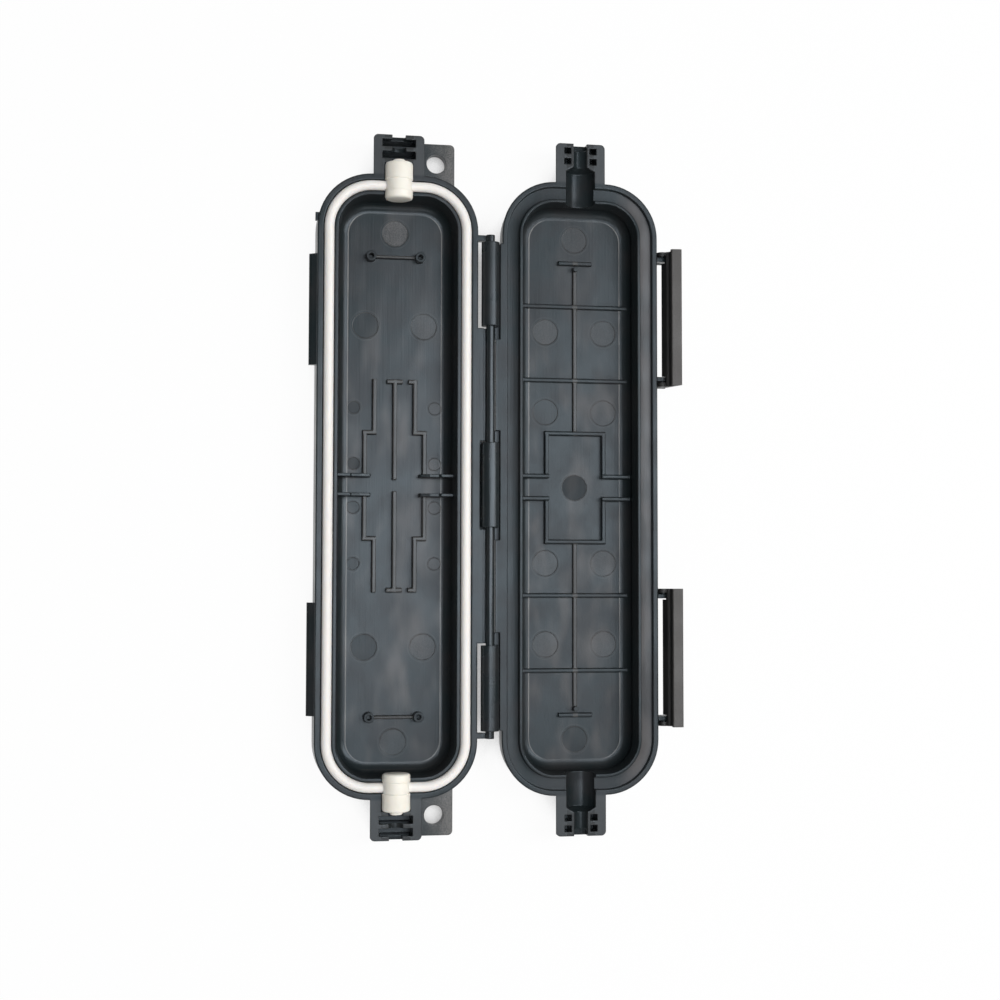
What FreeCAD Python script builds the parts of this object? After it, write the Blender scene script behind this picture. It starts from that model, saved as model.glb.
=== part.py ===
"""Fibre protection box, open: a base and a lid on a snap-on hinge, two swing latches and a silicone seal.

Frame: millimetres, origin at the middle of the base's back face, +Z out of the open base, +Y along the box.
The lid lies beside the base on the +X side, rim up, turned 180 degrees from closed.
"""
import FreeCAD
import Part
import math
import os

# Shells
body_width = 40.8
body_length = 156.8
corner_radius = 13.9
shell_height = 10.0
base_floor = 2.0
lid_floor = 2.5
back_edge_radius = 1.5
lid_back_edge_radius = 3.0
lid_outer_draft = 0.9
rim_width = 1.65
rim_edge_radius = 0.35
lip_width = 1.0
lip_edge_radius = 0.25
wall_draft = 0.9
floor_fillet = 2.5
parting_gap = 0.3

# Silicone seal
cord_diameter = 2.5
cord_side_clearance = 0.1
cord_seat_clearance = 0.05
base_groove_depth = 1.6
seal_closing_clearance = 0.35
lid_groove_relief = 0.15
plug_diameter = 7.0
plug_inner_reach = 3.55
plug_outer_reach = 6.6
plug_edge_radius = 0.6
waist_diameter = 6.4
waist_width = 2.9
nub_diameter = 3.2
nub_length = 0.75
plug_base_clearance = 0.1
plug_lid_clearance = 0.3

# Cable necks
neck_width = 12.9
neck_length = 10.1
neck_corner_radius = 1.2
lid_neck_height = 7.0
base_neck_draft = 1.0
lid_neck_draft = 1.4
base_neck_edge_radius = 1.5
lid_neck_edge_radius = 3.0
neck_side_wall = 2.2
neck_rib = 1.05
base_pocket_floor = 3.0
lid_pocket_floor = 5.0
cable_diameter = 3.6
end_notch_width = 3.4
end_notch_depth = 2.5
channel_wall = 0.6
cone_length = 1.2

# Wall-screw ears
ear_thickness = 2.8
ear_reach = 15.2
screw_hole_diameter = 5.0
screw_hole_x = 10.45
screw_hole_end_margin = 5.1

# Hinge
hinge_offset = 3.1
rod_diameter = 2.2
rod_end_inset = 0.8
rod_groove_width = 0.6
rod_groove_depth = 0.7
rod_clearance = 0.05
end_arm_width = 1.4
knuckle_diameter = 4.6
knuckle_length = 21.4
knuckle_end_clearance = 0.5
knuckle_mouth = 1.9
hinge_flange_thickness = 2.2
flange_clearance = 0.3
knuckle_shelf_thickness = 1.2
relief_slot_inset = 0.5
relief_slot_width = 0.5
relief_slot_depth = 1.4
relief_slot_run = 3.2

# Catches on the base and latches on the lid
catch_length = 28.0
catch_reach = 1.9
catch_top_drop = 0.4
catch_ledge_drop = 2.6
catch_nose = 0.8
catch_edge_radius = 0.2
latch_length = 35.1
latch_end_inset = 3.3
latch_flare = 20.0
latch_plate = 1.1
latch_root_step = 0.5
latch_root_top = 0.2
latch_catch_clearance = 0.4
latch_hook_gap = 0.3
latch_hook_height = 0.8
latch_tip_height = 2.0
latch_edge_radius = 0.4
latch_root_radius = 0.3
hook_edge_radius = 0.2
latch_hook_wall_gap = 0.85
latch_root_drop = 2.2
pivot_reach = 1.7
pivot_drop = 1.6
pivot_pin_diameter = 1.4
pivot_clearance = 0.05
lug_width = 1.1
lug_radius = 1.15
ear_radius = 1.4
ear_gap = 0.3
shelf_drop = 4.0
shelf_thickness = 1.1
shelf_reach = 3.2

# Floor ribs of the base
rib_thickness = 1.05
rib_edge_radius = 0.3
rib_root = 0.3
base_rib_height = 1.5
narrow_rib_x = 5.2
wide_rib_x = 7.65
rib_step_y = 13.5
rib_end_y = 27.1
centre_rib_start = 1.5
centre_foot = 4.0
end_foot = 1.7
adapter_rib_y = 2.45
adapter_rib_thickness = 0.75
adapter_rib_inner = 6.2
adapter_rib_knee = 8.8
adapter_rib_step = 11.1
adapter_rib_drop = 4.3
adapter_end_drop = 5.2
adapter_shoulder_drop = 3.6
adapter_step_slope = 0.5
adapter_edge_radius = 0.5
clip_end_inset = 5.9
clip_bar_thickness = 0.75
clip_post_x = 6.3
clip_post_diameter = 2.6
clip_post_bore = 1.3
clip_post_height = 2.6

# Floor ribs of the lid
lid_rib_height = 0.9
lid_spine_height = 0.7
frame_rib_height = 1.3
frame_half_width = 7.55
frame_half_length = 14.05
side_rib_y = 2.9
side_rib_height = 2.0
cross_rib_inner_y = 27.9
cross_rib_outer_y = 47.2
tee_length = 8.8
tee_height = 1.2
hook_offset = 1.6
hook_diameter = 1.3
hook_height = 2.0

# Ejector marks and the gate scar that the mould leaves
mark_depth = 0.12
large_mark_diameter = 6.6
small_mark_diameter = 3.2
end_mark_offset = 6.3
base_large_marks = [(7.5, 41.0), (-7.5, 41.0)]
base_small_marks = [(10.4, 19.9), (-10.4, 19.9), (10.4, 5.6), (-10.4, 5.6)]
lid_large_marks = [(7.7, 40.5), (-7.7, 40.5), (7.7, 19.6), (-7.7, 19.6)]
gate_offset = 2.5
gate_length = 2.0
gate_reach = 0.5
gate_height = 1.2

# Sizes that follow from the ones above
half_width = body_width / 2
half_length = body_length / 2
groove_width = cord_diameter + 2 * cord_side_clearance
cord_inset = rim_width + groove_width / 2
lip_outer = rim_width + groove_width
cavity_inset = lip_outer + lip_width
cord_proud = cord_diameter + cord_seat_clearance - base_groove_depth
lid_groove_depth = cord_proud - parting_gap + seal_closing_clearance
hinge_x = half_width + hinge_offset
hinge_z = shell_height + parting_gap / 2
lid_x = 2 * hinge_x
cord_y = half_length - cord_inset
plug_inner_y = cord_y - plug_inner_reach
plug_outer_y = cord_y + plug_outer_reach
neck_end_y = half_length + neck_length
screw_hole_y = neck_end_y - screw_hole_end_margin
straight_end = half_length - corner_radius
clip_y = straight_end - clip_end_inset
hook_y = clip_y - hook_offset
end_mark = (0.0, clip_y + end_mark_offset)
gate_y = straight_end + gate_offset
rod_end = straight_end - rod_end_inset
outer_knuckle_y = rod_end - end_arm_width - knuckle_end_clearance - knuckle_length / 2
pocket_half_width = neck_width / 2 - neck_side_wall
latch_wall_x = lid_x + half_width
latch_y = straight_end - latch_end_inset - latch_length / 2
ledge_drop = catch_ledge_drop + parting_gap
merge = 0.5


def vector(x, y, z):
    return FreeCAD.Vector(x, y, z)


def box(low, high):
    size = [b - a for a, b in zip(low, high)]
    return Part.makeBox(size[0], size[1], size[2], vector(*low))


def bar_y(radius, x, z, start, end):
    """Round bar along Y."""
    return Part.makeCylinder(radius, end - start, vector(x, start, z), vector(0, 1, 0))


def rounded_face(corners):
    """Face in the XZ plane from (x, z, radius) corners, each rounded by its radius."""
    edges = []
    count = len(corners)
    starts, ends, middles = [], [], []
    for index, (x, z, radius) in enumerate(corners):
        here = vector(x, 0, z)
        before = vector(corners[index - 1][0], 0, corners[index - 1][1]) - here
        after = vector(corners[(index + 1) % count][0], 0, corners[(index + 1) % count][1]) - here
        before.normalize()
        after.normalize()
        half_turn = before.getAngle(after) / 2
        setback = radius / math.tan(half_turn)
        bisector = before + after
        if radius > 0:
            bisector.normalize()
        starts.append(here + before * setback)
        ends.append(here + after * setback)
        middles.append(here + bisector * (radius / math.sin(half_turn) - radius))
    for index in range(count):
        if corners[index][2] > 0:
            edges.append(Part.Arc(starts[index], middles[index], ends[index]).toShape())
        edges.append(Part.LineSegment(ends[index], starts[(index + 1) % count]).toShape())
    return Part.Face(Part.Wire(edges))


def prism_y(corners, start, end):
    """Solid with a rounded XZ outline that runs along Y."""
    face = rounded_face(corners)
    face.translate(vector(0, start, 0))
    return face.extrude(vector(0, end - start, 0))


def fuse(shapes):
    return shapes[0].multiFuse(shapes[1:]).removeSplitter()


def both_ends(shapes):
    """The shapes and their mirror images at the other end of the box."""
    return shapes + [shape.mirror(vector(0, 0, 0), vector(0, 1, 0)) for shape in shapes]


def around_rim(face):
    """Carry a wall section, drawn with x = 0 at the outer wall, round the shell's rounded outline."""
    pieces = []
    spans = [(half_width, half_length), (half_length, half_width)] * 2
    for quarter, (reach, run) in enumerate(spans):
        straight = run - corner_radius
        side = face.copy()
        side.translate(vector(reach, -straight, 0))
        turn = face.copy()
        turn.translate(vector(reach, straight, 0))
        centre = vector(reach - corner_radius, straight, 0)
        for piece in (side.extrude(vector(0, 2 * straight, 0)), turn.revolve(centre, vector(0, 0, 1), 90)):
            piece.rotate(vector(0, 0, 0), vector(0, 0, 1), 90 * quarter)
            pieces.append(piece)
    return pieces


def plan_plate(low_x, high_x, low_y, high_y, low_z, high_z, radius):
    """Upright plate with rounded corners in plan."""
    plate = box((low_x, low_y, low_z), (high_x, high_y, high_z))
    upright = [edge for edge in plate.Edges if abs(edge.tangentAt(edge.FirstParameter).z) > 0.9]
    return plate.makeFillet(radius, upright)


def open_shell(floor, groove_depth, groove_relief, outer_draft, back_radius):
    """Tray with a rim, a seal groove, an inner lip and a drafted, filleted cavity."""
    top = shell_height
    groove_outer = rim_width - groove_relief
    groove_inner = lip_outer + groove_relief
    section = rounded_face([
        (-corner_radius, 0, 0),
        (-outer_draft, 0, back_radius),
        (0, top, rim_edge_radius),
        (-groove_outer, top, rim_edge_radius),
        (-groove_outer, top - groove_depth, 0),
        (-groove_inner, top - groove_depth, 0),
        (-groove_inner, top, lip_edge_radius),
        (-cavity_inset, top, lip_edge_radius),
        (-cavity_inset - wall_draft, floor, floor_fillet),
        (-corner_radius, floor, 0),
    ])
    middle = box((corner_radius - half_width, corner_radius - half_length, 0),
                 (half_width - corner_radius, half_length - corner_radius, floor))
    return fuse(around_rim(section) + [middle])


def marks(places, diameter, floor):
    """Shallow ejector marks sunk into a floor."""
    height = mark_depth + merge
    return [Part.makeCylinder(diameter / 2, height, vector(x, y, floor - mark_depth)) for x, y in places]


def rib_y(x, start, end, floor, height, thickness=rib_thickness):
    """Low rib along Y with rounded top edges."""
    return prism_y([
        (x - thickness / 2, floor - rib_root, 0),
        (x + thickness / 2, floor - rib_root, 0),
        (x + thickness / 2, floor + height, rib_edge_radius),
        (x - thickness / 2, floor + height, rib_edge_radius),
    ], start, end)


def rib_x(y, start, end, floor, height, thickness=rib_thickness):
    """Low rib along X with rounded top edges."""
    rib = rib_y(y, -end, -start, floor, height, thickness)
    rib.rotate(vector(0, 0, 0), vector(0, 0, 1), 90)
    return rib


def neck_block(height, draft, edge_radius):
    """Neck at the +Y end that carries the plug and the cable, drafted and rounded towards its underside."""
    top = shell_height
    low = top - height
    half = neck_width / 2
    root = half_length - rim_width / 2
    section = prism_y([
        (-half, top, 0),
        (half, top, 0),
        (half - draft, low, edge_radius),
        (draft - half, low, edge_radius),
    ], root, neck_end_y)
    return section.common(plan_plate(-half, half, root - neck_corner_radius, neck_end_y,
                                     low, top, neck_corner_radius))


def end_notch():
    """Square notch in a neck's end wall that lets the cable out."""
    return box((-end_notch_width / 2, neck_end_y - neck_rib - merge, shell_height - end_notch_depth),
               (end_notch_width / 2, neck_end_y + merge, shell_height + merge))


def plug_seat(clearance):
    """Round seat of the cable plug, open to the cavity."""
    inner = half_length - cavity_inset - wall_draft - floor_fillet
    outer = plug_outer_y - nub_length + plug_base_clearance
    return bar_y(plug_diameter / 2 + clearance, 0, hinge_z, inner, outer)


def base_neck_cuts():
    """Pockets between the neck's cross ribs, the saddles in those ribs and the end notch."""
    seat_end = plug_outer_y - nub_length + plug_base_clearance
    pocket = (neck_end_y - seat_end - 3 * neck_rib) / 2
    inner = seat_end + neck_rib
    outer = inner + pocket + neck_rib
    cuts = [box((-pocket_half_width, start, base_pocket_floor),
                (pocket_half_width, start + pocket, shell_height + merge)) for start in (inner, outer)]
    saddle = bar_y(cable_diameter / 2, 0, hinge_z, seat_end - merge, neck_end_y - neck_rib)
    return cuts + [saddle, end_notch()]


def lid_neck_cuts():
    """Half-round cable channel with a cone to the plug seat, core pockets beside it and the end notch."""
    seat_end = plug_outer_y - nub_length + plug_base_clearance
    seat_radius = plug_diameter / 2 + plug_lid_clearance
    channel_radius = cable_diameter / 2
    cone_start = vector(0, seat_end, hinge_z)
    cone = Part.makeCone(seat_radius, channel_radius, cone_length, cone_start, vector(0, 1, 0))
    channel = bar_y(channel_radius, 0, hinge_z, seat_end, neck_end_y + merge)
    inner = seat_end + cone_length + neck_rib / 2
    pocket = (neck_end_y - inner - 2 * neck_rib) / 2
    cuts = [cone, channel, end_notch()]
    for start in (inner, inner + pocket + neck_rib):
        for side in (-1, 1):
            edges = sorted((side * (channel_radius + channel_wall), side * pocket_half_width))
            cuts.append(box((edges[0], start, lid_pocket_floor),
                            (edges[1], start + pocket, shell_height + merge)))
    return cuts


def screw_ear():
    """Flat ear at the back level beside the +Y neck, with its wall-screw hole."""
    plate = plan_plate(0, ear_reach, straight_end, neck_end_y, 0, ear_thickness, neck_corner_radius)
    inside_x = half_width - rim_width
    inside_y = half_length - rim_width
    inside = plan_plate(-inside_x, inside_x, -inside_y, inside_y, 0, shell_height, corner_radius - rim_width)
    ear = plate.cut(inside)
    hole = Part.makeCylinder(screw_hole_diameter / 2, ear_thickness + 2 * merge,
                             vector(screw_hole_x, screw_hole_y, -merge))
    return ear, hole


def catch():
    """Ramped catch on the base's -X wall: a latch rides over the ramp and hooks under the ledge."""
    wall = -half_width
    top = shell_height
    ramp_end = top - catch_ledge_drop + catch_nose
    corners = [
        (wall + merge, top - catch_top_drop - merge, 0),
        (wall + merge, top - catch_ledge_drop, 0),
        (wall - catch_reach, top - catch_ledge_drop, catch_edge_radius),
        (wall - catch_reach, ramp_end, catch_edge_radius),
        (wall, top - catch_top_drop, 0),
    ]
    return prism_y(corners, latch_y - catch_length / 2, latch_y + catch_length / 2)


def knuckle_centres():
    return [-outer_knuckle_y, 0.0, outer_knuckle_y]


def flange_spans():
    """Stretches of the hinge between the knuckles."""
    room = knuckle_length / 2 + knuckle_end_clearance
    return [(low + room, high - room) for low, high in zip(knuckle_centres()[:-1], knuckle_centres()[1:])]


def base_hinge():
    """Rod on end arms and on grooved flanges between the knuckles, and a shelf at the middle knuckle."""
    top = shell_height
    low = top - hinge_flange_thickness
    wall = half_width - merge
    groove_x = hinge_x - rod_diameter / 2 - rod_groove_width
    ledge_x = hinge_x - knuckle_diameter / 2 - flange_clearance
    shelf_top = hinge_z - knuckle_diameter / 2 - flange_clearance
    shelf_low = shelf_top - knuckle_shelf_thickness
    pieces = [bar_y(rod_diameter / 2, hinge_x, hinge_z, -rod_end, rod_end)]
    for start, end in flange_spans():
        pieces.append(box((wall, start, low), (groove_x, end, top)))
        pieces.append(box((wall, start, low), (hinge_x, end, top - rod_groove_depth)))
    inner_end = min(start for start, end in flange_spans() if start > 0)
    pieces.append(box((wall, -inner_end, shelf_low), (ledge_x, inner_end, top)))
    pieces.append(box((wall, -inner_end, shelf_low), (hinge_x, inner_end, shelf_top)))
    arm = box((wall, rod_end - end_arm_width, low), (hinge_x, rod_end, top))
    return pieces + both_ends([arm])


def lid_hinge_solids():
    """Knuckles with their arms, and the flange that meets the rod between them, in the lid's place."""
    low = shell_height - hinge_flange_thickness
    wall = lid_x - half_width + merge
    pieces = []
    for centre in knuckle_centres():
        start = centre - knuckle_length / 2
        end = centre + knuckle_length / 2
        pieces.append(bar_y(knuckle_diameter / 2, hinge_x, hinge_z, start, end))
        pieces.append(box((hinge_x, start, low), (wall, end, shell_height)))
    flange_x = hinge_x + rod_diameter / 2 + flange_clearance
    room = knuckle_length / 2
    for low_y, high_y in zip(knuckle_centres()[:-1], knuckle_centres()[1:]):
        pieces.append(box((flange_x, low_y + room, low), (wall, high_y - room, shell_height)))
    return pieces


def lid_hinge_cuts():
    """Rod bores with their snap mouths, and relief slots beside the knuckles with a recess past each end."""
    cuts = []
    slot_high = lid_x - half_width - relief_slot_inset
    slot_low = slot_high - relief_slot_width
    slot_floor = shell_height - relief_slot_depth
    flange_x = hinge_x + rod_diameter / 2
    outermost = max(knuckle_centres())
    for centre in knuckle_centres():
        start = centre - knuckle_length / 2
        end = centre + knuckle_length / 2
        cuts.append(bar_y(rod_diameter / 2 + rod_clearance, hinge_x, hinge_z, start, end))
        cuts.append(box((hinge_x - knuckle_mouth / 2, start, hinge_z - knuckle_diameter),
                        (hinge_x + knuckle_mouth / 2, end, hinge_z)))
        cuts.append(box((slot_low, start - merge, slot_floor),
                        (slot_high, end + merge, shell_height + merge)))
        if centre > -outermost:
            cuts.append(box((flange_x, start - relief_slot_run, slot_floor),
                            (slot_high, start, shell_height + merge)))
        if centre < outermost:
            cuts.append(box((flange_x, end, slot_floor),
                            (slot_high, end + relief_slot_run, shell_height + merge)))
    return cuts


def adapter_rib(side):
    """Stepped cross rib that holds an adapter's flange, from one side wall towards the middle."""
    floor = base_floor
    wall = half_width - cavity_inset + merge
    knee = shell_height - adapter_rib_drop
    shoulder = shell_height - adapter_shoulder_drop
    outline = [
        (side * wall, floor - rib_root, 0),
        (side * wall, shoulder, 0),
        (side * (adapter_rib_step + adapter_step_slope), shoulder, adapter_edge_radius),
        (side * adapter_rib_step, knee, 0),
        (side * adapter_rib_knee, knee, adapter_edge_radius),
        (side * adapter_rib_inner, shell_height - adapter_end_drop, adapter_edge_radius),
        (side * adapter_rib_inner, floor - rib_root, 0),
    ]
    half_rib = adapter_rib_thickness / 2
    return prism_y(outline, adapter_rib_y - half_rib, adapter_rib_y + half_rib)


def base_floor_ribs():
    """Ribs of the +Y half: stepped splice channel, adapter ribs and cable clip."""
    floor = base_floor
    height = base_rib_height
    half_rib = rib_thickness / 2
    bar_start = (clip_post_bore + clip_post_diameter) / 4 - clip_post_x
    ribs = [
        rib_y(0, centre_rib_start, rib_end_y, floor, height),
        rib_x(rib_end_y - half_rib, -centre_foot / 2, centre_foot / 2, floor, height),
        rib_x(rib_end_y - half_rib, narrow_rib_x - end_foot, narrow_rib_x, floor, height),
        rib_x(clip_y, bar_start, -bar_start, floor, height, clip_bar_thickness),
    ]
    for side in (-1, 1):
        inner, outer = sorted((side * (narrow_rib_x - half_rib), side * (wide_rib_x + half_rib)))
        ribs.append(rib_y(side * narrow_rib_x, rib_step_y, rib_end_y, floor, height))
        ribs.append(rib_x(rib_step_y, inner, outer, floor, height))
        ribs.append(rib_y(side * wide_rib_x, adapter_rib_y, rib_step_y, floor, height))
        ribs.append(adapter_rib(side))
        post_x = side * clip_post_x
        post = Part.makeCylinder(clip_post_diameter / 2, clip_post_height + rib_root,
                                 vector(post_x, clip_y, floor - rib_root))
        bore = Part.makeCylinder(clip_post_bore / 2, clip_post_height + merge, vector(post_x, clip_y, floor))
        ribs.append(post.cut(bore))
    return ribs


def lid_floor_ribs():
    """Ribs of the lid's +Y half: half of the middle frame, spine, cross ribs and cable tee."""
    floor = lid_floor
    half_rib = rib_thickness / 2
    wall = half_width - cavity_inset - wall_draft / 2
    frame_x = frame_half_width + half_rib
    ribs = [
        rib_y(0, frame_half_length, hook_y, floor, lid_spine_height),
        rib_x(frame_half_length, -frame_x, frame_x, floor, frame_rib_height),
        rib_x(clip_y, -tee_length / 2, tee_length / 2, floor, tee_height),
        Part.makeCylinder(hook_diameter / 2, hook_height + rib_root, vector(0, hook_y, floor - rib_root)),
    ]
    for y in (cross_rib_inner_y, cross_rib_outer_y):
        ribs.append(rib_x(y, -wall, wall, floor, lid_rib_height))
    for side in (-1, 1):
        inner, outer = sorted((side * (frame_half_width - half_rib), side * wall))
        ribs.append(rib_y(side * frame_half_width, side_rib_y, frame_half_length, floor, frame_rib_height))
        ribs.append(rib_x(side_rib_y, inner, outer, floor, side_rib_height))
    return ribs


def gate_scar():
    """Small stub left where the moulding was cut from its runner, on the base's -X wall."""
    top = shell_height - rim_edge_radius
    return box((-half_width - gate_reach, gate_y - gate_length / 2, top - gate_height),
               (-half_width + merge, gate_y + gate_length / 2, top))


def make_base_shell():
    ear, hole = screw_ear()
    neck = neck_block(shell_height, base_neck_draft, base_neck_edge_radius)
    solids = [open_shell(base_floor, base_groove_depth, 0.0, 0.0, back_edge_radius)]
    solids += both_ends([neck, ear, catch()])
    solids += base_hinge()
    solids.append(gate_scar())
    body = fuse(solids)
    cuts = both_ends([hole, plug_seat(plug_base_clearance)] + base_neck_cuts())
    cuts += both_ends(marks([end_mark] + base_large_marks, large_mark_diameter, base_floor))
    cuts += both_ends(marks(base_small_marks, small_mark_diameter, base_floor))
    body = body.cut(cuts)
    return fuse([body] + both_ends(base_floor_ribs()))


def latch_lug(side):
    """Lug on the lid's far wall with its pivot pin and the shelf below it, at one end of the +Y latch."""
    pivot_x = latch_wall_x + pivot_reach
    pivot_z = shell_height - pivot_drop
    ear_width = (latch_length - latch_slot_length()) / 2 - lug_width - ear_gap
    inner = latch_slot_length() / 2
    shelf_top = shell_height - shelf_drop
    lug = fuse([
        box((latch_wall_x - lid_outer_draft - merge, inner, shelf_top - shelf_thickness),
            (latch_wall_x + shelf_reach, latch_length / 2, shelf_top)),
        bar_y(lug_radius, pivot_x, pivot_z, inner, inner + lug_width),
        box((latch_wall_x - merge, inner, pivot_z - lug_radius),
            (pivot_x, inner + lug_width, pivot_z + lug_radius)),
        bar_y(pivot_pin_diameter / 2, pivot_x, pivot_z, inner, inner + lug_width + ear_gap + ear_width),
    ])
    if side < 0:
        lug = lug.mirror(vector(0, 0, 0), vector(0, 1, 0))
    lug.translate(vector(0, latch_y, 0))
    return lug


def latch_slot_length():
    """Clear length between a latch's two lugs."""
    return latch_length - 2 * (2 * lug_width + ear_gap)


def make_lid_shell():
    shell = open_shell(lid_floor, lid_groove_depth, lid_groove_relief, lid_outer_draft, lid_back_edge_radius)
    neck = neck_block(lid_neck_height, lid_neck_draft, lid_neck_edge_radius)
    body = fuse([shell] + both_ends([neck]))
    cuts = both_ends([plug_seat(plug_lid_clearance)] + lid_neck_cuts())
    cuts += both_ends(marks([end_mark] + lid_large_marks, large_mark_diameter, lid_floor))
    cuts += marks([(0.0, 0.0)], large_mark_diameter, lid_floor)
    body = fuse([body.cut(cuts)] + both_ends(lid_floor_ribs()))
    body.translate(vector(lid_x, 0, 0))
    body = fuse([body] + lid_hinge_solids() + both_ends([latch_lug(1), latch_lug(-1)]))
    return body.cut(lid_hinge_cuts()).removeSplitter()


def make_latch(centre):
    """Latch plate with a thick root, a hook along its tip and two pivot ears, flared out for the open box."""
    wall = latch_wall_x
    rim = shell_height
    inner = wall + catch_reach + latch_catch_clearance
    outer = inner + latch_plate
    hook = wall + latch_hook_wall_gap
    hook_z = rim + ledge_drop + latch_hook_gap
    tip_z = hook_z + latch_tip_height
    pivot_x = wall + pivot_reach
    pivot_z = rim - pivot_drop
    root_z = rim - latch_root_drop
    ear_outer = latch_length / 2
    ear_inner = ear_outer - lug_width
    root_top = rim + latch_root_top
    plate = prism_y([
        (inner - latch_root_step, root_z, latch_root_radius),
        (inner - latch_root_step, root_top, latch_root_radius),
        (inner, root_top + latch_root_step, 0),
        (inner, hook_z, latch_root_radius),
        (hook, hook_z, hook_edge_radius),
        (hook, hook_z + latch_hook_height, hook_edge_radius),
        (outer, tip_z, latch_edge_radius),
        (outer, root_z, latch_edge_radius),
    ], -ear_outer, ear_outer)
    ears = [
        bar_y(ear_radius, pivot_x, pivot_z, ear_inner, ear_outer),
        box((pivot_x, ear_inner, pivot_z - ear_radius),
            (outer - latch_plate / 2, ear_outer, pivot_z + ear_radius)),
    ]
    bore_radius = pivot_pin_diameter / 2 + pivot_clearance
    lug_room = bar_y(lug_radius + ear_gap, pivot_x, pivot_z, ear_inner - lug_width - 2 * ear_gap, ear_inner)
    bore = bar_y(bore_radius, pivot_x, pivot_z, ear_inner - merge, ear_outer + merge)
    latch = fuse([plate] + both_ends(ears)).cut(both_ends([lug_room, bore])).removeSplitter()
    latch.rotate(vector(pivot_x, 0, pivot_z), vector(0, 1, 0), latch_flare)
    latch.translate(vector(0, centre, 0))
    return latch


def cable_plug():
    """Round plug of the seal at the +Y end, waisted where the cord joins it, with a nub for the cable."""
    radius = plug_diameter / 2
    waist = waist_diameter / 2
    body_end = plug_outer_y - nub_length
    low_waist = cord_y - waist_width / 2
    high_waist = cord_y + waist_width / 2
    outline = [
        (0, plug_inner_y, 0),
        (radius, plug_inner_y, plug_edge_radius),
        (radius, low_waist, 0),
        (waist, low_waist, 0),
        (waist, high_waist, 0),
        (radius, high_waist, 0),
        (radius, body_end, plug_edge_radius),
        (nub_diameter / 2, body_end, 0),
        (nub_diameter / 2, plug_outer_y, 0),
        (0, plug_outer_y, 0),
    ]
    face = rounded_face(outline)
    plug = face.revolve(vector(0, 0, 0), vector(0, 0, 1), 360)
    plug.rotate(vector(0, 0, 0), vector(1, 0, 0), -90)
    plug.translate(vector(0, 0, hinge_z))
    return plug


def make_seal_gasket():
    cord_z = shell_height - base_groove_depth + cord_seat_clearance + cord_diameter / 2
    circle = Part.Circle(vector(-cord_inset, 0, cord_z), vector(0, 1, 0), cord_diameter / 2)
    section = Part.Face(Part.Wire(circle.toShape()))
    return fuse(around_rim(section) + both_ends([cable_plug()]))


parts = {
    "base_shell": make_base_shell(),
    "lid_shell": make_lid_shell(),
    "latch_upper": make_latch(latch_y),
    "latch_lower": make_latch(-latch_y),
    "seal_gasket": make_seal_gasket(),
}
os.makedirs("parts", exist_ok=True)
for name, shape in parts.items():
    solids = shape.Solids
    print(name, "solids", len(solids), "valid", shape.isValid(), "volume", round(shape.Volume, 1))
    shape.exportStep(f"parts/{name}.step")
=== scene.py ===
import math
from collections import namedtuple

import bmesh
import bpy
from mathutils import Matrix, Vector


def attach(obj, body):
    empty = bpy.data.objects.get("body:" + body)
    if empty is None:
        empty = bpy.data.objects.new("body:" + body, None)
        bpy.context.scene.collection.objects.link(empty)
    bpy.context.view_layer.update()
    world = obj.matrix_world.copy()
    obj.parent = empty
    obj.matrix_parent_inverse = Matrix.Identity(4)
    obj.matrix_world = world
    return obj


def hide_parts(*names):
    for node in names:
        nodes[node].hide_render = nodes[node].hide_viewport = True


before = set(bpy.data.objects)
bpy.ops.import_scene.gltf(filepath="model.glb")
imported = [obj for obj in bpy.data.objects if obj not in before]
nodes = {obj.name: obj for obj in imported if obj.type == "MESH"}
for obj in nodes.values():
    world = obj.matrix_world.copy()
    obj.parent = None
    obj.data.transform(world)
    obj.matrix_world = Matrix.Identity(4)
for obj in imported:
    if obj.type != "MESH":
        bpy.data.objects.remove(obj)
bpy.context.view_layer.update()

MM = 0.001

# Camera of the photograph
PICTURE = 1000
FOCAL_PIXELS = 1627.4
SENSOR = 36.0
CAMERA_PLACE = (-46.22 * MM, -25.47 * MM, 414.66 * MM)
CAMERA_TURN = (-0.0536, 0.1765, -0.0110)

# Outline of both shells, and places measured in from it
BODY_WIDTH = 40.8 * MM
BODY_LENGTH = 156.8 * MM
BODY_CORNER = 13.9 * MM
FLOOR_INSET = 8.35 * MM
RIB_INSET = 9.5 * MM
GROOVE_OUTER = 1.5 * MM
GROOVE_WIDTH = 3.0 * MM

# Heights on the shells
GROOVE_LEVEL = 5.0 * MM
BORE_LEVEL = 5.4 * MM
EAR_LOW = 2.6 * MM
EAR_HIGH = 2.95 * MM
POST_LOW = 3.4 * MM
POST_HIGH = 5.2 * MM
NECK_LEVEL = 9.2 * MM
LATCH_LIP_LEVEL = 13.5 * MM

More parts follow.
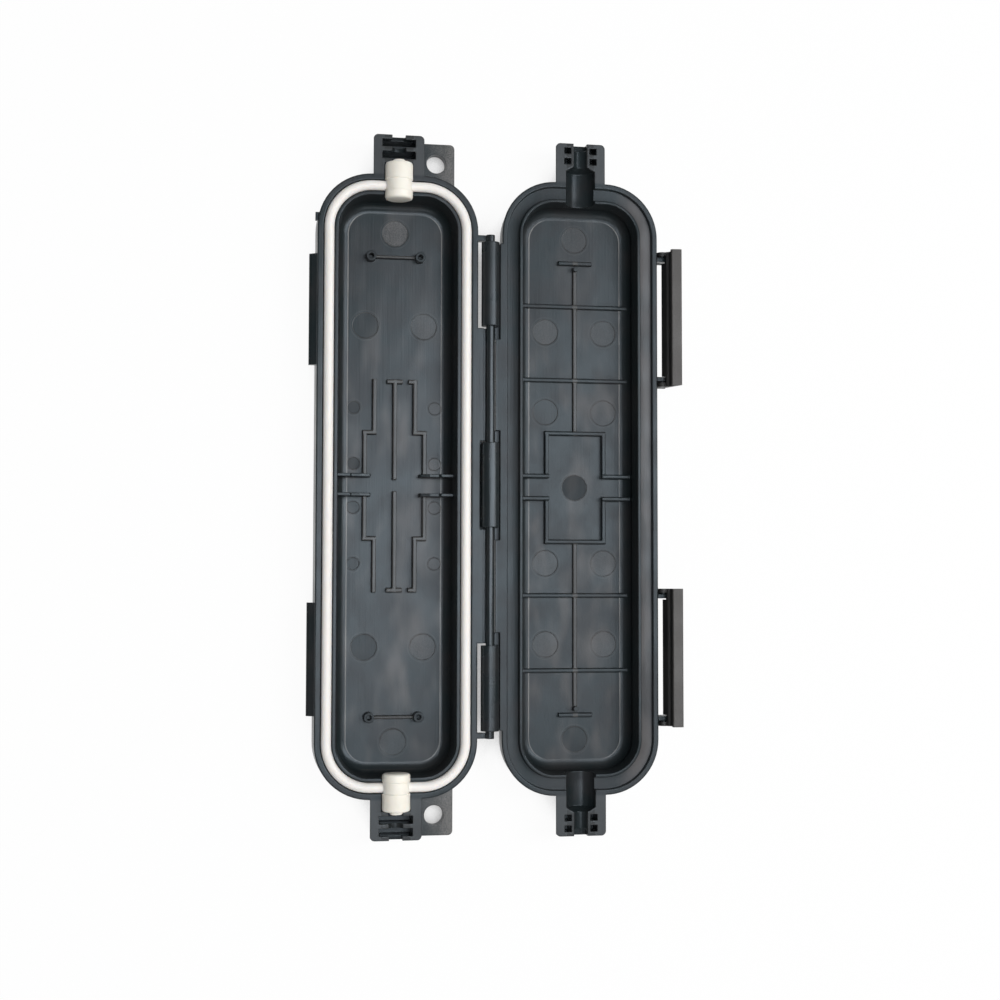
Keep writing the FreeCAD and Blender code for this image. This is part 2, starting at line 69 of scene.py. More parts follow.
# Ejector marks of each floor, in pairs at +Y and -Y: place, radius, and how much lighter or darker each is
LARGE_MARK = 3.3 * MM
SMALL_MARK = 1.6 * MM
BASE_MARKS = [
    (0.0, 64.9, LARGE_MARK, 0.9, 0.2),
    (-7.5, 41.0, LARGE_MARK, -0.3, -0.25), (7.5, 41.0, LARGE_MARK, 0.35, 0.4),
    (-10.4, 19.9, SMALL_MARK, -0.3, -0.1), (10.4, 19.9, SMALL_MARK, 0.3, 0.2),
    (-10.4, 5.6, SMALL_MARK, -0.4, -0.15), (10.4, 5.6, SMALL_MARK, 0.7, 0.4),
]
LID_MARKS = [
    (0.0, 64.9, LARGE_MARK, 0.3, -0.3), (0.0, 0.0, LARGE_MARK, -0.6, -0.6),
    (-7.7, 40.5, LARGE_MARK, 0.5, 0.35), (7.7, 40.5, LARGE_MARK, 0.3, 0.4),
    (-7.7, 19.6, LARGE_MARK, 0.1, 0.35), (7.7, 19.6, LARGE_MARK, 0.15, 0.35),
]
# Rings of the ejector marks, painted pale as a highlight on their edges
RING_HALF = 0.17 * MM
RING_GAP = 0.55 * MM
RING_HIGHLIGHT_SHARE = 0.4
FAINT_RING = 0.4
# Painted shade on the clip posts' tops, and the roughness of the dark marks and the posts
POST_SHADE_SHARE = 0.4
DARK_ROUGHNESS = 0.3

# What differs between the base and the lid: roughness, middle, floor, marks and the ribs whose tops get a
# painted highlight
Shell = namedtuple("Shell", "name gloss centre_x floor marks rib_low rib_half_width is_lid")
BASE = Shell("base_plastic", (0.3, 0.38), 0.0, 2.0 * MM, BASE_MARKS, 1.3 * MM, 9.0 * MM, False)
LID = Shell("lid_plastic", (0.36, 0.46), 47.0 * MM, 2.5 * MM, LID_MARKS, 0.5 * MM, 0.7 * MM, True)

# Tones of the plastic and the silicone
SHELL_TONES = ((0.012, 0.0175, 0.019), (0.02, 0.021, 0.022))
SHELL_SHEEN = (0.8, 0.905, 1.0)
SHELL_SPECULAR = 0.41
# pale flow smears, partly a painted sheen on the floors
SMEAR_AND_SHEEN_TONE = (0.07, 0.064, 0.061)
# painted highlight in the lid's seal groove
GROOVE_HIGHLIGHT_TONE = (0.1, 0.092, 0.09)
# painted highlight on the rib tops
RIB_HIGHLIGHT_TONE = (0.062, 0.059, 0.056)
LIGHT_MARK_TONE = (0.1, 0.092, 0.088)
# darker ejector marks, and the painted shade on the clip posts
DARK_MARK_AND_SHADE_TONE = (0.004, 0.006, 0.007)
# painted highlight on the ejector marks' rings
RING_HIGHLIGHT_TONE = (0.12, 0.11, 0.103)
# painted highlight along the floor's line
LINE_HIGHLIGHT_TONE = (0.2, 0.19, 0.18)
SCUFF_TONE = (0.24, 0.225, 0.21)
NECK_TONE = (0.046, 0.048, 0.049)
LATCH_TONES = ((0.016, 0.016, 0.0165), (0.026, 0.025, 0.024))
LATCH_GLOSS = (0.42, 0.55)
# painted light on the latches' lips
LATCH_LIP_LIGHT_TONE = (0.075, 0.07, 0.067)
CORD_TONES = ((0.88, 0.85, 0.81), (0.92, 0.885, 0.845))
# plugs painted warmer for the light inside them
PLUG_WARM_LIGHT_TONES = ((0.92, 0.87, 0.77), (0.95, 0.91, 0.82))

# Texture and relief of the moulded plastic
TEXTURE_SIZES = {"Streak Width": 0.55 * MM, "Wave Size": 6.0 * MM, "Smear Size": 5.5 * MM,
                 "Cloud Size": 9.0 * MM, "Grain Size": 0.22 * MM}
SHELL_RELIEF = {"Streak": 0.045 * MM, "Wave": 0.22 * MM, "Grain": 0.01 * MM}
LATCH_RELIEF = {"Streak": 0.012 * MM, "Grain": 0.012 * MM}
SHELL_EDGE = 0.35 * MM
LATCH_EDGE = 0.25 * MM
CROWN_RISE = 0.032
GROOVE_RISE = 0.22

# Silicone seal
CORD_RADIUS = 1.25 * MM
CORD_HEIGHT = 9.7 * MM
CORD_WIDTH = 34.8 * MM
CORD_LENGTH = 150.8 * MM
CORD_CORNER = 10.9 * MM
PLUG_HEIGHT = 10.15 * MM
PLUG_RADIUS = 3.5 * MM
PLUG_EDGE = 0.6 * MM
PLUG_WAIST = 3.3 * MM
PLUG_STEP = 0.06 * MM
PLUG_INNER_Y = 71.85 * MM
PLUG_OUTER_Y = 81.25 * MM
PLUG_WAIST_LOW = 73.95 * MM
PLUG_WAIST_HIGH = 76.85 * MM
NUB_RADIUS = 1.6 * MM
NUB_EDGE = 0.2 * MM
NUB_Y = 82.0 * MM
SEAL_SHARP_ANGLE = math.radians(50)

# Studio
FLOOR_REACH = 3.0
FLOOR_TONE = (0.9, 0.9, 0.9)
FLOOR_WHITE_SHARE = 0.95
GAP_REACH = 12.0 * MM
AIR_TONE = (0.95, 0.97, 1.0)
AIR_STRENGTH = 0.17
LAMP_TARGET = (0.0235, 0.0, 0.0)

Place = namedtuple("Place", "across along height inset side end")


def new_material(name):
    """Material with an empty tree, its Principled shader and its output."""
    material = bpy.data.materials.new(name)
    material.use_nodes = True
    tree = material.node_tree
    tree.nodes.clear()
    shader = tree.nodes.new("ShaderNodeBsdfPrincipled")
    output = tree.nodes.new("ShaderNodeOutputMaterial")
    tree.links.new(shader.outputs["BSDF"], output.inputs["Surface"])
    return material, tree, shader


def add(tree, kind, **values):
    """Node with its properties and unlinked inputs set by name."""
    node = tree.nodes.new(kind)
    for name, value in values.items():
        if name in node.inputs:
            node.inputs[name].default_value = value
        else:
            setattr(node, name, value)
    return node


def calculate(tree, operation, *terms):
    """Math node whose terms are sockets or numbers; returns its output."""
    node = add(tree, "ShaderNodeMath", operation=operation)
    for socket, term in zip(node.inputs, terms):
        if isinstance(term, (int, float)):
            socket.default_value = term
        else:
            tree.links.new(term, socket)
    return node.outputs["Value"]


def product(tree, *terms):
    """Product of several sockets or numbers."""
    result = terms[0]
    for term in terms[1:]:
        result = calculate(tree, "MULTIPLY", result, term)
    return result


def remap(tree, value, low, high, new_low=0.0, new_high=1.0):
    """Smooth step of a value from one range to another."""
    node = add(tree, "ShaderNodeMapRange", interpolation_type="SMOOTHSTEP")
    limits = {"From Min": low, "From Max": high, "To Min": new_low, "To Max": new_high}
    for name, limit in limits.items():
        node.inputs[name].default_value = limit
    tree.links.new(value, node.inputs["Value"])
    return node.outputs["Result"]


def between(tree, value, low, high, soft):
    """Mask of the values between two limits."""
    above = remap(tree, value, low, low + soft)
    below = remap(tree, value, high - soft, high, 1.0, 0.0)
    return product(tree, above, below)


def mix_colour(tree, share, first, second):
    """Colour between two, which are sockets or (r, g, b) values."""
    node = add(tree, "ShaderNodeMix", data_type="RGBA")
    tree.links.new(share, node.inputs["Factor"])
    for socket, term in ((node.inputs[6], first), (node.inputs[7], second)):
        if isinstance(term, tuple):
            socket.default_value = (*term, 1.0)
        else:
            tree.links.new(term, socket)
    return node.outputs[2]


def socket_source(socket):
    """Output that feeds a linked input."""
    return socket.links[0].from_socket


def new_group(name, inputs, outputs):
    """Shader node group of numbers, with its input and output nodes."""
    group = bpy.data.node_groups.new(name, "ShaderNodeTree")
    for socket in inputs:
        group.interface.new_socket(socket, in_out="INPUT", socket_type="NodeSocketFloat")
    for socket in outputs:
        group.interface.new_socket(socket, in_out="OUTPUT", socket_type="NodeSocketFloat")
    return group, add(group, "NodeGroupInput"), add(group, "NodeGroupOutput")


def moulding_group():
    """Flow streaks, waves and smears along the box, cloudy sheen and fine grain of a moulded surface."""
    textures = ("Streak", "Wave", "Smear", "Cloud", "Grain")
    group, source, result = new_group("moulding", TEXTURE_SIZES, textures)
    place = add(group, "ShaderNodeTexCoord").outputs["Object"]
    stretch = add(group, "ShaderNodeMapping", Scale=(1.0, 0.025, 1.0))
    smear = add(group, "ShaderNodeMapping", Scale=(1.0, 0.4, 1.0))
    group.links.new(place, stretch.inputs["Vector"])
    group.links.new(place, smear.inputs["Vector"])
    layers = (
        ("Streak", "Streak Width", stretch.outputs["Vector"], 3.0),
        ("Wave", "Wave Size", smear.outputs["Vector"], 1.0),
        ("Smear", "Smear Size", smear.outputs["Vector"], 1.5),
        ("Cloud", "Cloud Size", place, 3.0),
        ("Grain", "Grain Size", place, 2.0),
    )
    for name, size, where, detail in layers:
        noise = add(group, "ShaderNodeTexNoise", Detail=detail, Roughness=0.55)
        group.links.new(where, noise.inputs["Vector"])
        group.links.new(calculate(group, "DIVIDE", 1.0, source.outputs[size]), noise.inputs["Scale"])
        group.links.new(noise.outputs["Fac"], result.inputs[name])
    return group


def outline_group():
    """Distance in from the outline of a shell, a rectangle with round corners."""
    group, source, result = new_group("shell_outline", ("X", "Y"), ("Inset",))
    past = []
    for name, size in (("X", BODY_WIDTH), ("Y", BODY_LENGTH)):
        reach = calculate(group, "ABSOLUTE", source.outputs[name])
        past.append(calculate(group, "SUBTRACT", reach, size / 2 - BODY_CORNER))
    squares = [calculate(group, "POWER", calculate(group, "MAXIMUM", term, 0.0), 2.0) for term in past]
    round_part = calculate(group, "SQRT", calculate(group, "ADD", *squares))
    straight_part = calculate(group, "MINIMUM", calculate(group, "MAXIMUM", *past), 0.0)
    distance = calculate(group, "ADD", round_part, straight_part)
    group.links.new(calculate(group, "SUBTRACT", BODY_CORNER, distance), result.inputs["Inset"])
    return group


def disc_group():
    """Round ejector mark: its flat disc, and the fine ring at its edge, painted pale as a highlight, with a
    fainter pale ring round it.
    """
    group, source, result = new_group("ejector_mark", ("X", "Y", "Centre X", "Centre Y", "Radius"),
                                      ("Disc", "Ring"))
    across = calculate(group, "SUBTRACT", source.outputs["X"], source.outputs["Centre X"])
    along = calculate(group, "SUBTRACT", source.outputs["Y"], source.outputs["Centre Y"])
    square = calculate(group, "ADD", product(group, across, across), product(group, along, along))
    beyond = calculate(group, "SUBTRACT", calculate(group, "SQRT", square), source.outputs["Radius"])
    disc = remap(group, beyond, -RING_HALF, 0.0, 1.0, 0.0)
    ring = remap(group, calculate(group, "ABSOLUTE", beyond), 0.0, RING_HALF, 1.0, 0.0)
    outer = calculate(group, "ABSOLUTE", calculate(group, "SUBTRACT", beyond, RING_GAP))
    faint = remap(group, outer, 0.0, RING_HALF, FAINT_RING, 0.0)
    group.links.new(disc, result.inputs["Disc"])
    group.links.new(calculate(group, "MAXIMUM", ring, faint), result.inputs["Ring"])
    return group


def shell_place(tree, outline, centre_x):
    """Place in a shell's own frame, its inset from the outline and its distances from the middle."""
    place = add(tree, "ShaderNodeSeparateXYZ")
    tree.links.new(add(tree, "ShaderNodeTexCoord").outputs["Object"], place.inputs["Vector"])
    across = calculate(tree, "SUBTRACT", place.outputs["X"], centre_x)
    along = place.outputs["Y"]
    edge = add(tree, "ShaderNodeGroup", node_tree=outline)
    tree.links.new(across, edge.inputs["X"])
    tree.links.new(along, edge.inputs["Y"])
    side = calculate(tree, "ABSOLUTE", across)
    end = calculate(tree, "ABSOLUTE", along)
    return Place(across, along, place.outputs["Z"], edge.outputs["Inset"], side, end)


def ejector_marks(tree, discs, place, shell):
    """Tone masks of all the marks on a shell's floor, and the mask of the highlight painted on their rings.
    """
    upper = calculate(tree, "GREATER_THAN", place.along, 0.0)
    level = between(tree, place.height, shell.floor - 0.6 * MM, shell.floor + 0.2 * MM, 0.2 * MM)
    tone = 0.0
    ring = 0.0
    for x, y, radius, upper_tone, lower_tone in shell.marks:
        mark = add(tree, "ShaderNodeGroup", node_tree=discs)
        mark.inputs["Centre X"].default_value = x * MM
        mark.inputs["Centre Y"].default_value = y * MM
        mark.inputs["Radius"].default_value = radius
        tree.links.new(place.across, mark.inputs["X"])
        tree.links.new(place.end, mark.inputs["Y"])
        lightness = calculate(tree, "MULTIPLY_ADD", upper, upper_tone - lower_tone, lower_tone)
        tone = calculate(tree, "MULTIPLY_ADD", mark.outputs["Disc"], lightness, tone)
        ring = calculate(tree, "MAXIMUM", mark.outputs["Ring"], ring)
    return product(tree, tone, level), product(tree, ring, level, RING_HIGHLIGHT_SHARE)


def floor_smears_and_sheen(tree, place, floor, grain):
    """Mask of the pale flow smears on the inner floor, partly a painted sheen, stronger towards -Y and faint
    elsewhere on the shell.
    """
    smear = remap(tree, grain.outputs["Smear"], 0.45, 0.8)
    lower = remap(tree, place.along, 20.0 * MM, 45.0 * MM, 1.0, 0.4)
    level = between(tree, place.height, floor - 0.6 * MM, floor + 0.6 * MM, 0.2 * MM)
    inside = product(tree, level, remap(tree, place.inset, 7.5 * MM, 8.5 * MM))
    return product(tree, smear, lower, remap(tree, inside, 0.0, 1.0, 0.1, 1.0))


def floor_line_highlight(tree, place, floor, grain):
    """Mask of the pale line painted as the highlight on the fine ridge that the mould's core leaves along the
    floor's sides, stronger in some parts.
    """
    offset = calculate(tree, "ABSOLUTE", calculate(tree, "SUBTRACT", place.inset, FLOOR_INSET))
    line = remap(tree, offset, 0.05 * MM, 0.2 * MM, 1.0, 0.0)
    level = between(tree, place.height, floor - 0.5 * MM, floor + 0.5 * MM, 0.2 * MM)
    patch = remap(tree, grain.outputs["Smear"], 0.3, 0.6, 0.5, 1.0)
    sides = remap(tree, place.side, 7.0 * MM, 11.0 * MM, 0.1, 1.0)
    return product(tree, line, level, patch, sides)


def rib_top_highlights(tree, place, shell):
    """Mask of the tops of the ribs along a floor's middle, painted paler than the floor as a highlight."""
    low = shell.floor + shell.rib_low
    level = between(tree, place.height, low, low + 0.8 * MM, 0.1 * MM)
    middle = between(tree, place.across, -shell.rib_half_width, shell.rib_half_width, 0.1 * MM)
    off_walls = remap(tree, place.inset, RIB_INSET, RIB_INSET + 0.5 * MM)
    return product(tree, level, middle, off_walls)


def clip_post_shade(tree, place):
    """Mask of the painted shade on the rough tops of the base's clip posts, the highest points near the ends
    of its floor.
    """
    level = between(tree, place.height, POST_LOW, POST_HIGH, 0.3 * MM)
    near_end = remap(tree, place.end, 40.0 * MM, 42.0 * MM)
    off_walls = remap(tree, place.inset, RIB_INSET, RIB_INSET + 0.5 * MM)
    return product(tree, level, near_end, off_walls)


def ear_scuffs(tree, place, grain):
    """Mask of the speckled scuffs on top of the thin screw ears, which lie low past the ends of the shell."""
    past_end = remap(tree, place.end, 70.0 * MM, 74.0 * MM)
    level = between(tree, place.height, EAR_LOW, EAR_HIGH, 0.1 * MM)
    patch = remap(tree, grain.outputs["Smear"], 0.3, 0.6, 0.35, 0.8)
    speckle = remap(tree, grain.outputs["Grain"], 0.4, 0.6, 0.4, 1.0)
    outer = remap(tree, place.across, 8.0 * MM, 16.5 * MM, 0.3, 1.0)
    return product(tree, past_end, level, patch, speckle, outer)


def neck_tops(tree, place):
    """Mask of the flat tops of the cable necks, a little paler than the rim."""
    past_end = remap(tree, place.end, 78.0 * MM, 78.8 * MM)
    return product(tree, past_end, remap(tree, place.height, NECK_LEVEL, NECK_LEVEL + 0.4 * MM))


def painted_groove_highlight(tree, place, grain):
    """Mask of the pale highlight painted in the lid's seal groove, on the side away from the hinge."""
    band = between(tree, place.inset, GROOVE_OUTER, GROOVE_OUTER + GROOVE_WIDTH, 0.3 * MM)
    level = remap(tree, place.height, GROOVE_LEVEL, GROOVE_LEVEL + 1.0 * MM)
    far_side = remap(tree, place.across, 8.0 * MM, 16.0 * MM, 0.0, 0.65)
    patch = remap(tree, grain.outputs["Smear"], 0.35, 0.65, 0.6, 1.3)
    return product(tree, band, level, far_side, patch)


def polish(tree, place):
    """Share of the roughness that is left on the hinge and in the bores of the cable necks."""
    hinge = remap(tree, place.side, 21.5 * MM, 21.9 * MM, 1.0, 0.68)
    past_end = remap(tree, place.end, 70.0 * MM, 71.0 * MM)
    middle = between(tree, place.across, -3.7 * MM, 3.7 * MM, 0.1 * MM)
    level = remap(tree, place.height, BORE_LEVEL, BORE_LEVEL + 0.4 * MM, 0.0, 0.5)
    return calculate(tree, "SUBTRACT", hinge, product(tree, past_end, middle, level))


def crown_relief(tree, place):
    """Slight crown across a moulded floor, level again at its sides."""
    half = BODY_WIDTH / 2 - FLOOR_INSET
    reach = calculate(tree, "MINIMUM", place.side, half)
    return product(tree, reach, reach, -CROWN_RISE / half)


def groove_relief(tree, place):
    """Hollow of the lid's seal groove, whose floor curves up towards the inner lip along the sides."""
    reach = calculate(tree, "SUBTRACT", place.inset, GROOVE_OUTER)
    reach = calculate(tree, "MINIMUM", calculate(tree, "MAXIMUM", reach, 0.0), GROOVE_WIDTH)
    sides = remap(tree, place.end, 60.0 * MM, 76.0 * MM, 1.0, 0.0)
    level = remap(tree, place.height, GROOVE_LEVEL, GROOVE_LEVEL + 1.0 * MM)
    return product(tree, reach, reach, GROOVE_RISE / GROOVE_WIDTH, sides, level)


def moulded_plastic(name, moulding, tones, gloss, lifts, edge_radius):
    """Moulded plastic with round edges, cloudy tone and gloss, and a texture in relief."""
    material, tree, shader = new_material(name)
    grain = add(tree, "ShaderNodeGroup", node_tree=moulding)
    for socket, size in TEXTURE_SIZES.items():
        grain.inputs[socket].default_value = size
    cloud = remap(tree, grain.outputs["Cloud"], 0.35, 0.65)
    colour = mix_colour(tree, cloud, *tones)
    rough = remap(tree, grain.outputs["Cloud"], 0.3, 0.7, *gloss)
    relief = 0.0
    for layer, lift in lifts.items():
        relief = calculate(tree, "MULTIPLY_ADD", grain.outputs[layer], lift, relief)
    edges = add(tree, "ShaderNodeBevel", samples=6, Radius=edge_radius)
    bump = add(tree, "ShaderNodeBump", Strength=1.0, Distance=1.0)
    tree.links.new(edges.outputs["Normal"], bump.inputs["Normal"])
    tree.links.new(relief, bump.inputs["Height"])
    tree.links.new(colour, shader.inputs["Base Color"])
    tree.links.new(rough, shader.inputs["Roughness"])
    tree.links.new(bump.outputs["Normal"], shader.inputs["Normal"])
    return material, tree, shader, grain, bump


def shell_plastic(groups, shell):
    """Bluish black plastic of a shell, with flow smears partly painted as sheen, ejector marks with rings
    painted as highlights, a floor line painted as a highlight, painted highlights on rib tops and in the
    lid's groove, painted shade on the base's clip posts, and scuffed ears.
    """
    moulding, discs, outline = groups
    material, tree, shader, grain, bump = moulded_plastic(
        shell.name, moulding, SHELL_TONES, shell.gloss, SHELL_RELIEF, SHELL_EDGE)
    shader.inputs["Specular IOR Level"].default_value = SHELL_SPECULAR
    shader.inputs["Specular Tint"].default_value = (*SHELL_SHEEN, 1.0)
    place = shell_place(tree, outline, shell.centre_x)
    tone, ring = ejector_marks(tree, discs, place, shell)
    speckle = remap(tree, grain.outputs["Grain"], 0.35, 0.65, 0.3, 1.0)
    light = product(tree, calculate(tree, "MAXIMUM", tone, 0.0), speckle)
    dark_marks_and_post_shade = calculate(tree, "MAXIMUM", product(tree, tone, -1.0), 0.0)
    # Painted light among the layers: sheen in the smears, highlights on the rib tops and in the lid's groove.
    layers = [
        (floor_smears_and_sheen(tree, place, shell.floor, grain), SMEAR_AND_SHEEN_TONE),
        (rib_top_highlights(tree, place, shell), RIB_HIGHLIGHT_TONE),
        (light, LIGHT_MARK_TONE),
    ]
    relief = calculate(tree, "ADD", socket_source(bump.inputs["Height"]), crown_relief(tree, place))
    if shell.is_lid:
        # painted highlight in the lid's groove
        layers.insert(0, (painted_groove_highlight(tree, place, grain), GROOVE_HIGHLIGHT_TONE))
        relief = calculate(tree, "ADD", relief, groove_relief(tree, place))
    else:
        # painted shade on the clip posts joins the dark marks
        dark_marks_and_post_shade = calculate(tree, "MAXIMUM", dark_marks_and_post_shade, product(tree, clip_post_shade(tree, place), POST_SHADE_SHARE))
    # Painted shade on the clip posts with the dark marks, and rings and floor line painted as highlights.
    layers += [
        (dark_marks_and_post_shade, DARK_MARK_AND_SHADE_TONE),
        (ring, RING_HIGHLIGHT_TONE),
        (floor_line_highlight(tree, place, shell.floor, grain), LINE_HIGHLIGHT_TONE),
        (ear_scuffs(tree, place, grain), SCUFF_TONE),
        (neck_tops(tree, place), NECK_TONE),
    ]
    colour = socket_source(shader.inputs["Base Color"])
    for share, layer_tone in layers:
        colour = mix_colour(tree, share, colour, layer_tone)
    rough = product(tree, socket_source(shader.inputs["Roughness"]), polish(tree, place))
    tree.links.new(colour, shader.inputs["Base Color"])
    rough = calculate(tree, "MULTIPLY_ADD", dark_marks_and_post_shade, DARK_ROUGHNESS, rough)
    tree.links.new(rough, shader.inputs["Roughness"])
    tree.links.new(relief, bump.inputs["Height"])
    return material


def latch_plastic(moulding):
    """Dark plastic of the latches, with a paler, browner, speckled tone painted along the lip, their highest
    part, as the light on its top.
    """
    material, tree, shader, grain = moulded_plastic(
        "latch_plastic", moulding, LATCH_TONES, LATCH_GLOSS, LATCH_RELIEF, LATCH_EDGE)[:4]
    place = add(tree, "ShaderNodeSeparateXYZ")
    tree.links.new(add(tree, "ShaderNodeTexCoord").outputs["Object"], place.inputs["Vector"])
    lip = remap(tree, place.outputs["Z"], LATCH_LIP_LEVEL, LATCH_LIP_LEVEL + 0.3 * MM)
    # painted light on the lip's top
    lit_lip = product(tree, lip, remap(tree, grain.outputs["Grain"], 0.35, 0.65, 0.6, 1.0))
    colour = mix_colour(tree, lit_lip, socket_source(shader.inputs["Base Color"]), LATCH_LIP_LIGHT_TONE)
    tree.links.new(colour, shader.inputs["Base Color"])
    return material


def soft_silicone(name):
    """White silicone, with the thick plugs painted warmer for the light they let in."""
    material, tree, shader = new_material(name)
    plug = add(tree, "ShaderNodeAttribute", attribute_name="plug")
    place = add(tree, "ShaderNodeTexCoord")
    cloud = add(tree, "ShaderNodeTexNoise", Scale=1.0 / (4.0 * MM), Detail=3.0)
    tree.links.new(place.outputs["Object"], cloud.inputs["Vector"])
    cord = mix_colour(tree, cloud.outputs["Fac"], *CORD_TONES)
    # plugs painted warmer for the light inside them
    warm_lit_plug = mix_colour(tree, cloud.outputs["Fac"], *PLUG_WARM_LIGHT_TONES)
    tree.links.new(mix_colour(tree, plug.outputs["Fac"], cord, warm_lit_plug), shader.inputs["Base Color"])
    tree.links.new(remap(tree, cloud.outputs["Fac"], 0.3, 0.7, 0.4, 0.55), shader.inputs["Roughness"])
    shader.inputs["Subsurface Weight"].default_value = 0.25
    shader.inputs["Subsurface Radius"].default_value = (1.0, 0.85, 0.7)
    shader.inputs["Subsurface Scale"].default_value = 0.6 * MM
    return material


def paint(node, material):
    """Give a piece its only material."""
    node.data.materials.clear()
    node.data.materials.append(material)


def plug_mesh():
    """Cable plug of the +Y end, turned about its own axis."""
    corner = PLUG_EDGE * (1.0 - math.sqrt(0.5))
    outline = [
        (0.0, PLUG_INNER_Y),
        (PLUG_RADIUS - PLUG_EDGE, PLUG_INNER_Y),
        (PLUG_RADIUS - corner, PLUG_INNER_Y + corner),
        (PLUG_RADIUS, PLUG_INNER_Y + PLUG_EDGE),
        (PLUG_RADIUS, PLUG_WAIST_LOW - PLUG_STEP),
        (PLUG_WAIST, PLUG_WAIST_LOW + PLUG_STEP),
        (PLUG_WAIST, PLUG_WAIST_HIGH - PLUG_STEP),
        (PLUG_RADIUS, PLUG_WAIST_HIGH + PLUG_STEP),
        (PLUG_RADIUS, PLUG_OUTER_Y - PLUG_EDGE),
        (PLUG_RADIUS - corner, PLUG_OUTER_Y - corner),
        (PLUG_RADIUS - PLUG_EDGE, PLUG_OUTER_Y),
        (NUB_RADIUS, PLUG_OUTER_Y),
        (NUB_RADIUS, NUB_Y - NUB_EDGE),
        (NUB_RADIUS - NUB_EDGE, NUB_Y),
        (0.0, NUB_Y),
    ]
    shape = bmesh.new()
    points = [shape.verts.new((x, y, 0.0)) for x, y in outline]
    edges = [shape.edges.new(pair) for pair in zip(points[:-1], points[1:])]
    bmesh.ops.spin(shape, geom=points + edges, cent=(0, 0, 0), axis=(0, 1, 0), angle=2 * math.pi, steps=72)
    bmesh.ops.remove_doubles(shape, verts=shape.verts, dist=0.001 * MM)
    bmesh.ops.translate(shape, vec=(0, 0, PLUG_HEIGHT), verts=shape.verts)
    bmesh.ops.recalc_face_normals(shape, faces=shape.faces)
    mesh = bpy.data.meshes.new("seal")
    shape.to_mesh(mesh)
    shape.free()
    return mesh


def seal_tree(material):
    """Node tree that carries a round cord round the rim and sets a plug at both ends."""
    tree = bpy.data.node_groups.new("seal_ring", "GeometryNodeTree")
    face = tree.interface
    face.new_socket("Plug", in_out="INPUT", socket_type="NodeSocketGeometry")
    sizes = {"Width": CORD_WIDTH, "Length": CORD_LENGTH, "Corner": CORD_CORNER,
             "Cord Radius": CORD_RADIUS, "Height": CORD_HEIGHT}
    for name in sizes:
        face.new_socket(name, in_out="INPUT", socket_type="NodeSocketFloat")
    face.new_socket("Seal", in_out="OUTPUT", socket_type="NodeSocketGeometry")
    source = add(tree, "NodeGroupInput")
    result = add(tree, "NodeGroupOutput")
    path = add(tree, "GeometryNodeCurvePrimitiveQuadrilateral", mode="RECTANGLE")
    fillet = add(tree, "GeometryNodeFilletCurve", mode="POLY", Count=24)
    ring = add(tree, "GeometryNodeCurvePrimitiveCircle", mode="RADIUS", Resolution=40)
    cord = add(tree, "GeometryNodeCurveToMesh")
    lift = add(tree, "ShaderNodeCombineXYZ")
    raise_cord = add(tree, "GeometryNodeTransform")
    mark = add(tree, "GeometryNodeStoreNamedAttribute", data_type="FLOAT", domain="POINT",
               Name="plug", Value=1.0)
    other_end = add(tree, "GeometryNodeTransform", Rotation=(0.0, 0.0, math.pi))
    join = add(tree, "GeometryNodeJoinGeometry")
    smooth = add(tree, "GeometryNodeSetShadeSmooth")
    realize = add(tree, "GeometryNodeRealizeInstances")
    dress = add(tree, "GeometryNodeSetMaterial", Material=material)
    link = tree.links.new
    link(source.outputs["Width"], path.inputs["Width"])
    link(source.outputs["Length"], path.inputs["Height"])
    link(path.outputs["Curve"], fillet.inputs["Curve"])
    link(source.outputs["Corner"], fillet.inputs["Radius"])
    link(source.outputs["Cord Radius"], ring.inputs["Radius"])
    link(fillet.outputs["Curve"], cord.inputs["Curve"])
    link(ring.outputs["Curve"], cord.inputs["Profile Curve"])
    link(source.outputs["Height"], lift.inputs["Z"])
    link(cord.outputs["Mesh"], raise_cord.inputs["Geometry"])
    link(lift.outputs["Vector"], raise_cord.inputs["Translation"])
    link(source.outputs["Plug"], mark.inputs["Geometry"])
    link(mark.outputs["Geometry"], other_end.inputs["Geometry"])
    link(raise_cord.outputs["Geometry"], join.inputs["Geometry"])
    link(mark.outputs["Geometry"], join.inputs["Geometry"])
    link(other_end.outputs["Geometry"], join.inputs["Geometry"])
    link(join.outputs["Geometry"], smooth.inputs["Geometry"])
    link(smooth.outputs["Geometry"], realize.inputs["Geometry"])
    link(realize.outputs["Geometry"], dress.inputs["Geometry"])
    link(dress.outputs["Geometry"], result.inputs["Seal"])
    return tree, sizes


def make_seal(material):
    """Seal as one piece: the cord and its two plugs."""
    seal = bpy.data.objects.new("seal", plug_mesh())
    bpy.context.scene.collection.objects.link(seal)
    tree, sizes = seal_tree(material)
    modifier = seal.modifiers.new("seal_ring", "NODES")
    modifier.node_group = tree
    inputs = [item for item in tree.interface.items_tree if item.in_out == "INPUT"]
    identifiers = {item.name: item.identifier for item in inputs}
    for name, size in sizes.items():
        modifier[identifiers[name]] = size
    bpy.context.view_layer.update()
    evaluated = seal.evaluated_get(bpy.context.evaluated_depsgraph_get())
    finished = bpy.data.meshes.new_from_object(evaluated)
    seal.modifiers.clear()
    seal.data = finished
    shape = bmesh.new()
    shape.from_mesh(finished)
    bmesh.ops.recalc_face_normals(shape, faces=shape.faces)
    shape.to_mesh(finished)
    shape.free()
    finished.set_sharp_from_angle(angle=SEAL_SHARP_ANGLE)
    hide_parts("seal_gasket")
    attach(seal, "base")


